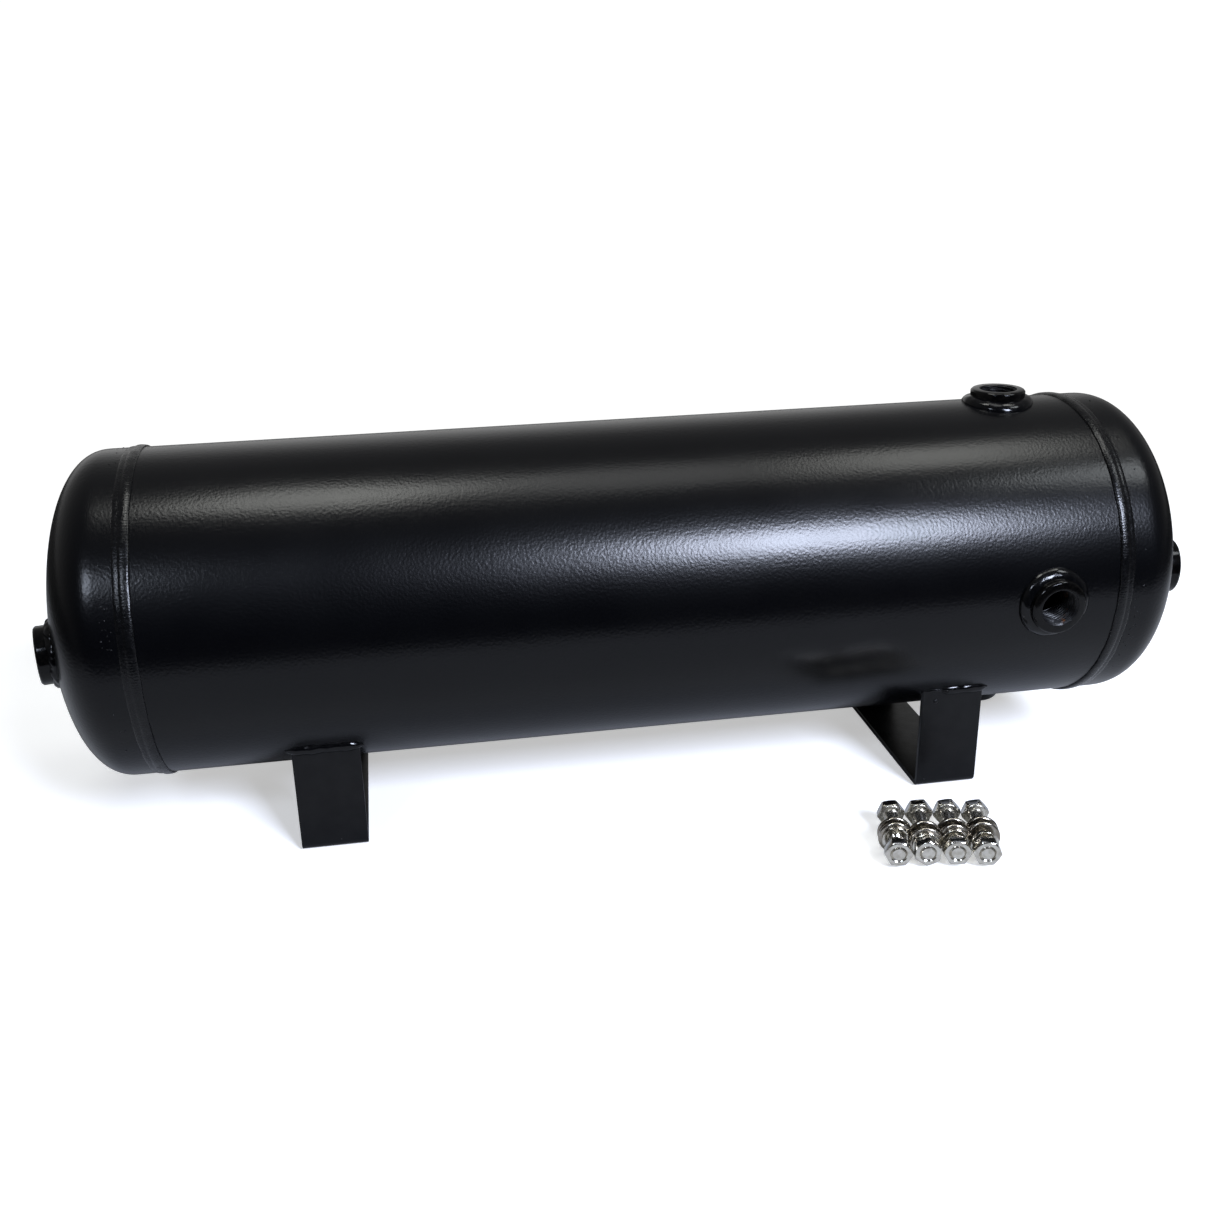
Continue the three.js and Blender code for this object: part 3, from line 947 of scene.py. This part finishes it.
def chamfered_edge(columns, radii, end, inward):
    """Four rows over a hexagon's chamfer, from the round face's edge to the flat sides."""
    fall = (radii - HEX_FACE) * HEX_RISE
    return [
        ring_row(columns, HEX_FACE - 0.1, end),
        (np.full(columns, HEX_FACE), np.full(columns, end + inward * 0.04)),
        (radii - 0.04, end + inward * (fall + 0.02)),
        (radii, end + inward * (fall + 0.10)),
    ]


def rows_to_skin(place, rows, angles, loop):
    """A skin over rows of radii and heights, turned about the place's axis."""
    radius = np.array([row[0] for row in rows])
    along = np.array([row[1] for row in rows])
    return skin(place.turned(radius, along, angles[None, :]), loop)


def thread_rows(angles, heights, crest, root, turn):
    """Rows of a thread that runs from crest to root radius. turn lines up a pair of threads."""
    rows = []
    for height in heights:
        wave = saw(height / BOLT_PITCH - (angles - turn) / TURN)
        rows.append((crest + (root - crest) * wave, np.full(len(angles), height)))
    return rows


def point_limit(height):
    """The bolt's largest radius at a height, where its end is chamfered."""
    slope = (BOLT_CREST - POINT_RADIUS) / POINT_LENGTH
    return POINT_RADIUS + max(BOLT_LENGTH - height, 0) * slope


def bolt_piece(number, place):
    """A bolt, its head's face towards the nut and its grip duller than the rest."""
    angles, radii = hex_columns(HEAD_TURNS[number - 1])
    columns = len(angles)
    rows = chamfered_edge(columns, radii, -HEAD_HEIGHT, 1)
    rows += [
        (radii, np.full(columns, -WASHER_FACE_HEIGHT - 0.12)),
        (radii - 0.1, np.full(columns, -WASHER_FACE_HEIGHT)),
    ]
    first_stamped_face = (len(rows) - 1) * columns
    for radius, height in (
        (WASHER_FACE_RADIUS + 0.05, -WASHER_FACE_HEIGHT),
        (WASHER_FACE_RADIUS, -WASHER_FACE_HEIGHT + 0.05),
        (WASHER_FACE_RADIUS - 0.05, -0.08),
        (WASHER_FACE_RADIUS - 0.15, 0.0),
        (GRIP_RADIUS + 0.45, 0.0),
        (GRIP_RADIUS + 0.15, 0.1),
        (GRIP_RADIUS, 0.45),
        (GRIP_RADIUS, GRIP_LENGTH - 0.9),
        (GRIP_RADIUS, GRIP_LENGTH - 0.3),
    ):
        rows.append(ring_row(columns, radius, height))
    last_stamped_face = (len(rows) - 1) * columns
    heights = np.arange(GRIP_LENGTH, BOLT_LENGTH, BOLT_PITCH / ROWS_PER_PITCH)
    for radius, height in thread_rows(angles, heights, BOLT_CREST, BOLT_ROOT, 0.0):
        fade = min((height[0] - GRIP_LENGTH) / THREAD_FADE, 1)
        eased = BOLT_CREST + (radius - BOLT_CREST) * fade
        rows.append((np.minimum(eased, point_limit(height[0])), height))
    rows.append(ring_row(columns, POINT_RADIUS, BOLT_LENGTH))
    rows.append(ring_row(columns, POINT_RADIUS - 0.15, BOLT_LENGTH))
    node = f"bolt_{number}"
    body = rows_to_skin(place, rows, angles, loop=False)
    piece = mesh_object(f"{node}_look", *body, THREADED_SHARP)
    present(piece, node, node, "stainless", STAINLESS, STAINLESS_STAMPED)
    use_second_material(piece, first_stamped_face, last_stamped_face)


def nut_piece(number, place):
    """A hexagon nut, its outer face level with the bolt's end."""
    angles, radii = hex_columns(NUT_TURNS[number - 1])
    columns = len(angles)
    low, high = BOLT_LENGTH - NUT_HEIGHT, BOLT_LENGTH
    rows = chamfered_edge(columns, radii, low, 1)
    rows += chamfered_edge(columns, radii, high, -1)[::-1]
    heights = np.arange(high - 0.08, low + 0.05, -BOLT_PITCH / ROWS_PER_PITCH)
    rows.append(ring_row(columns, NUT_SINK, high))
    for radius, height in thread_rows(angles, heights, NUT_ROOT, NUT_CREST, pi):
        edge = min(high - height[0], height[0] - low)
        rows.append((np.maximum(radius, NUT_SINK - edge * 1.1), height))
    rows.append(ring_row(columns, NUT_SINK, low))
    node = f"nut_{number}"
    body = rows_to_skin(place, rows, angles, loop=True)
    piece = mesh_object(f"{node}_look", *body, THREADED_SHARP)
    present(piece, node, node, "stainless", STAINLESS)


def flat_washer_piece(node, number, direction):
    """A stamped washer, rounder on the side that faces the nut."""
    half = FLAT_WASHER["thickness"] / 2
    outer, inner = FLAT_WASHER["outer"], FLAT_WASHER["inner"]
    profile = [
        (inner, -half + 0.1),
        (inner + 0.1, -half),
        (outer - 0.15, -half),
        (outer - 0.04, -half + 0.05),
        (outer, -half + 0.18),
        (outer, half - 0.85),
        (outer - 0.06, half - 0.58),
        (outer - 0.22, half - 0.30),
        (outer - 0.46, half - 0.10),
        (outer - 0.75, half),
        (inner + 0.15, half),
        (inner, half - 0.15),
    ]
    place = Place(middle_mm(node), direction, (1, 0, 0))
    body = lathe(place, profile, FLAT_WASHER["steps"])
    piece = mesh_object(f"{node}_look", *body, FORMED_SHARP)
    # The washer's steel is darkened as painted shade for the dark between the bolt's head and
    # its nut.
    present(piece, node, f"washer_stack_{number}", "stainless", SHADED_STAINLESS_PLATE)


def lock_washer_piece(number, centre, direction):
    """A split spring washer whose two ends stand a little apart, with slanting cuts."""
    outer, inner = LOCK_WASHER["outer"], LOCK_WASHER["inner"]
    thickness, slit = LOCK_WASHER["thickness"], LOCK_WASHER["slit"]
    across, through = rounded_box_section(
        outer - inner, thickness - LOCK_SHRINK, LOCK_EDGE, LOCK_CORNER_STEPS
    )
    radius = (outer + inner) / 2 + across
    wedge = through * (1 - LOCK_WEDGE * across)
    place = Place(centre, direction, (1, 0, 0))
    rows = []
    for share in np.linspace(0, 1, LOCK_STEPS):
        angle = slit / 2 + share * (TURN - slit)
        from_middle = 2 * share - 1
        lean = LOCK_LEAN * through * copysign(from_middle**12, from_middle)
        rows.append(place.turned(radius, wedge + LOCK_SPRING * from_middle, angle + lean))
    node = f"lock_washer_{number}"
    piece = mesh_object(f"{node}_look", *skin(np.array(rows), loop=False), FORMED_SHARP)
    present(piece, node, f"washer_stack_{number}", "stainless", STAINLESS)


def hardware_set(number):
    """One bolt with its nut, two flat washers and a lock washer, laid out along its joints."""
    joints = {joint["name"]: joint for joint in frame["joints"]}
    direction = np.array(joints[f"nut_travel_{number}"]["axis"])
    underside = np.array(joints[f"bolt_spin_{number}"]["pos_m"]) / MM
    side = np.cross(direction, (0, 0, 1))
    place = Place(underside, direction, side)
    bolt_piece(number, place)
    nut_piece(number, place)
    for node in (f"inner_washer_{number}", f"outer_washer_{number}"):
        flat_washer_piece(node, number, direction)
    along = (middle_mm(f"lock_washer_{number}") - underside).dot(direction)
    lock_washer_piece(number, underside + along * direction, direction)


# ---------------------------------------------------------------------------------------------
# Stage: floor, lights, world and camera. Lengths are in metres here.

FLOOR_TO_PART = 0.48
FLOOR_TO_CAMERA = 0.88
FLOOR_GLOW = 0.45
FLOOR_REACH = (0.50, 0.85)  # distances over which the table gives way to plain white
FLOOR_FRONT = -0.34
FLOOR_FAR = 8.0
FLOOR_HEIGHT = -0.0003  # just under the feet
WHITE = 1.05
DARK_ROOM = 0.03


def floor_material():
    """A pale table that takes shadows near the part. Further off the camera sees plain white,
    and the part sees the dark room past the table's edge."""
    material = bpy.data.materials.new("floor_white")
    material.use_nodes = True
    tree = material.node_tree
    nodes, links = tree.nodes, tree.links
    nodes.clear()
    is_camera = nodes.new("ShaderNodeLightPath").outputs["Is Camera Ray"]
    where = nodes.new("ShaderNodeTexCoord").outputs["Object"]
    distance = nodes.new("ShaderNodeVectorMath")
    distance.operation = "LENGTH"
    links.new(where, distance.inputs[0])
    fade = nodes.new("ShaderNodeMapRange")
    fade.interpolation_type = "SMOOTHSTEP"
    fade.inputs["From Min"].default_value = FLOOR_REACH[0]
    fade.inputs["From Max"].default_value = FLOOR_REACH[1]
    links.new(distance.outputs["Value"], fade.inputs["Value"])

    def by_ray(to_part, to_camera):
        """One value towards the part and another towards the camera."""
        level = nodes.new("ShaderNodeMapRange")
        level.inputs["To Min"].default_value = to_part
        level.inputs["To Max"].default_value = to_camera
        links.new(is_camera, level.inputs["Value"])
        return level.outputs["Result"]

    def glow(to_part, to_camera):
        made = nodes.new("ShaderNodeEmission")
        links.new(by_ray(to_part, to_camera), made.inputs["Strength"])
        return made.outputs[0]

    paint = nodes.new("ShaderNodeBsdfDiffuse")
    links.new(by_ray(FLOOR_TO_PART, FLOOR_TO_CAMERA), paint.inputs["Color"])
    lit = nodes.new("ShaderNodeAddShader")
    links.new(paint.outputs[0], lit.inputs[0])
    links.new(glow(0, FLOOR_GLOW), lit.inputs[1])
    mixed = nodes.new("ShaderNodeMixShader")
    links.new(fade.outputs["Result"], mixed.inputs["Fac"])
    links.new(lit.outputs[0], mixed.inputs[1])
    links.new(glow(DARK_ROOM, WHITE), mixed.inputs[2])
    output = nodes.new("ShaderNodeOutputMaterial")
    links.new(mixed.outputs[0], output.inputs["Surface"])
    return material


def floor():
    """A wide floor that ends a little way in front of the part."""
    mesh = bpy.data.meshes.new("floor")
    corners = [
        (-FLOOR_FAR, FLOOR_FRONT, FLOOR_HEIGHT),
        (FLOOR_FAR, FLOOR_FRONT, FLOOR_HEIGHT),
        (FLOOR_FAR, FLOOR_FAR, FLOOR_HEIGHT),
        (-FLOOR_FAR, FLOOR_FAR, FLOOR_HEIGHT),
    ]
    mesh.from_pydata(corners, [], [(0, 1, 2, 3)])
    made = bpy.data.objects.new("floor", mesh)
    bpy.context.scene.collection.objects.link(made)
    made.data.materials.append(floor_material())


# Softboxes: where each stands, what it is aimed at, its width, height, radiance and colour.
SOFTBOXES = {
    "front": {
        "at": (0.755, -1.75, 1.36),
        "aim": (0.07, -0.04, 0.15),
        "size": (0.60, 0.59),
        "radiance": 70.0,
        "colour": (0.74, 0.81, 1.0),
    },
    "front_left": {
        "at": (-0.92, -1.30, 1.25),
        "aim": (-0.26, -0.04, 0.15),
        "size": (0.34, 0.36),
        "radiance": 23.0,
        "colour": (0.76, 0.84, 1.0),
    },
    "side_right": {
        "at": (1.00, -0.45, 1.30),
        "aim": (0.26, -0.03, 0.17),
        "size": (0.32, 0.32),
        "radiance": 9.0,
        "colour": (0.92, 0.97, 1.0),
    },
    "top_left": {
        "at": (-0.23, 0.04, 1.62),
        "aim": (-0.17, 0.0, 0.18),
        "size": (0.42, 0.40),
        "radiance": 9.4,
        "colour": (0.99, 1.0, 0.96),
    },
    "top_middle": {
        "at": (0.24, 0.03, 1.60),
        "aim": (0.0, 0.0, 0.18),
        "size": (0.50, 0.36),
        "radiance": 2.7,
        "colour": (0.99, 1.0, 0.99),
    },
    "top_right": {
        "at": (0.728, 0.06, 1.55),
        "aim": (0.14, 0.0, 0.18),
        "size": (0.46, 0.38),
        "radiance": 6.3,
        "colour": (0.99, 1.0, 0.96),
    },
}


def softbox(name, at, aim, size, radiance, colour):
    """A lamp that the camera can't see, with the same radiance whatever its size."""
    lamp = bpy.data.lights.new(name, "AREA")
    lamp.shape = "RECTANGLE"
    lamp.size, lamp.size_y = size
    lamp.energy = radiance * pi * size[0] * size[1]
    lamp.color = colour
    made = bpy.data.objects.new(name, lamp)
    made.location = at
    direction = Vector(aim) - Vector(at)
    made.rotation_euler = direction.to_track_quat("-Z", "Y").to_euler()
    made.visible_camera = False
    bpy.context.scene.collection.objects.link(made)


# The room's brightness against how far a direction points towards +Y, behind the part.
ROOM = [
    (0.00, 0.01),
    (0.14, 0.03),
    (0.30, 0.10),
    (0.60, 0.18),
    (0.80, 0.20),
    (0.90, 0.25),
    (0.98, 0.68),
]


def world():
    """Plain white to the camera, and a dim room to the part."""
    made = bpy.data.worlds.new("studio")
    bpy.context.scene.world = made
    made.use_nodes = True
    nodes, links = made.node_tree.nodes, made.node_tree.links
    nodes.clear()
    direction = nodes.new("ShaderNodeTexCoord").outputs["Generated"]
    split = nodes.new("ShaderNodeSeparateXYZ")
    links.new(direction, split.inputs[0])
    depth = nodes.new("ShaderNodeMapRange")
    depth.inputs["From Min"].default_value = -1
    links.new(split.outputs["Y"], depth.inputs["Value"])
    ramp = nodes.new("ShaderNodeValToRGB")
    while len(ramp.color_ramp.elements) > 1:
        ramp.color_ramp.elements.remove(ramp.color_ramp.elements[-1])
    ramp.color_ramp.elements[0].position = ROOM[0][0]
    ramp.color_ramp.elements[0].color = (ROOM[0][1],) * 3 + (1,)
    for position, value in ROOM[1:]:
        ramp.color_ramp.elements.new(position).color = (value, value, value, 1)
    links.new(depth.outputs["Result"], ramp.inputs["Fac"])
    room = nodes.new("ShaderNodeBackground")
    links.new(ramp.outputs["Color"], room.inputs["Color"])
    backdrop = nodes.new("ShaderNodeBackground")
    backdrop.inputs["Color"].default_value = (1, 1, 1, 1)
    backdrop.inputs["Strength"].default_value = WHITE
    choose = nodes.new("ShaderNodeMixShader")
    links.new(nodes.new("ShaderNodeLightPath").outputs["Is Camera Ray"], choose.inputs["Fac"])
    links.new(room.outputs[0], choose.inputs[1])
    links.new(backdrop.outputs[0], choose.inputs[2])
    output = nodes.new("ShaderNodeOutputWorld")
    links.new(choose.outputs[0], output.inputs["Surface"])


CAMERA_AT = (-0.12154, -0.63899, 0.36334)
CAMERA_YAW = radians(9.376)  # to the right of +Y
CAMERA_PITCH = radians(21.303)  # below level
CAMERA_ROLL = radians(-1.139)
CAMERA_LENS = 39.216
CAMERA_SENSOR = 36
CAMERA_CLIP = 0.01


def camera():
    """The photograph's point of view."""
    lens = bpy.data.cameras.new("camera")
    lens.sensor_width = CAMERA_SENSOR
    lens.lens = CAMERA_LENS
    lens.clip_start = CAMERA_CLIP
    made = bpy.data.objects.new("camera", lens)
    forward = Vector(
        (
            sin(CAMERA_YAW) * cos(CAMERA_PITCH),
            cos(CAMERA_YAW) * cos(CAMERA_PITCH),
            -sin(CAMERA_PITCH),
        )
    )
    level = Vector((cos(CAMERA_YAW), -sin(CAMERA_YAW), 0))
    upright = level.cross(forward)
    right = level * cos(CAMERA_ROLL) + upright * sin(CAMERA_ROLL)
    up = upright * cos(CAMERA_ROLL) - level * sin(CAMERA_ROLL)
    turn = Matrix((right, up, -forward)).transposed()
    made.matrix_world = Matrix.Translation(CAMERA_AT) @ turn.to_4x4()
    bpy.context.scene.collection.objects.link(made)
    bpy.context.scene.camera = made


# ---------------------------------------------------------------------------------------------
# Assembly

shell_piece()
for head, way in (("left", -1), ("right", 1)):
    head_piece(head, way)
    girth_weld_piece(head, way)
for port in PORTS:
    port_piece(port)
    port_weld_piece(port)
leg_piece("left", [(3.5, 5.2, 0.5)])
leg_piece("right", [(-9.5, 52.0, 1.3), (-13.0, 4.8, 0.6)])
leg_weld_piece("left", "front", -19.8, 19.0)
leg_weld_piece("left", "rear", -18.6, 18.8)
leg_weld_piece("right", "front", -15.5, 19.4, thin_until=-5)
leg_weld_piece("right", "rear", -18.9, 18.5)
for set_number in range(1, 5):
    hardware_set(set_number)

floor()
for lamp_name, facts in SOFTBOXES.items():
    softbox(lamp_name, **facts)
world()
camera()
bpy.context.scene.view_settings.view_transform = "Standard"
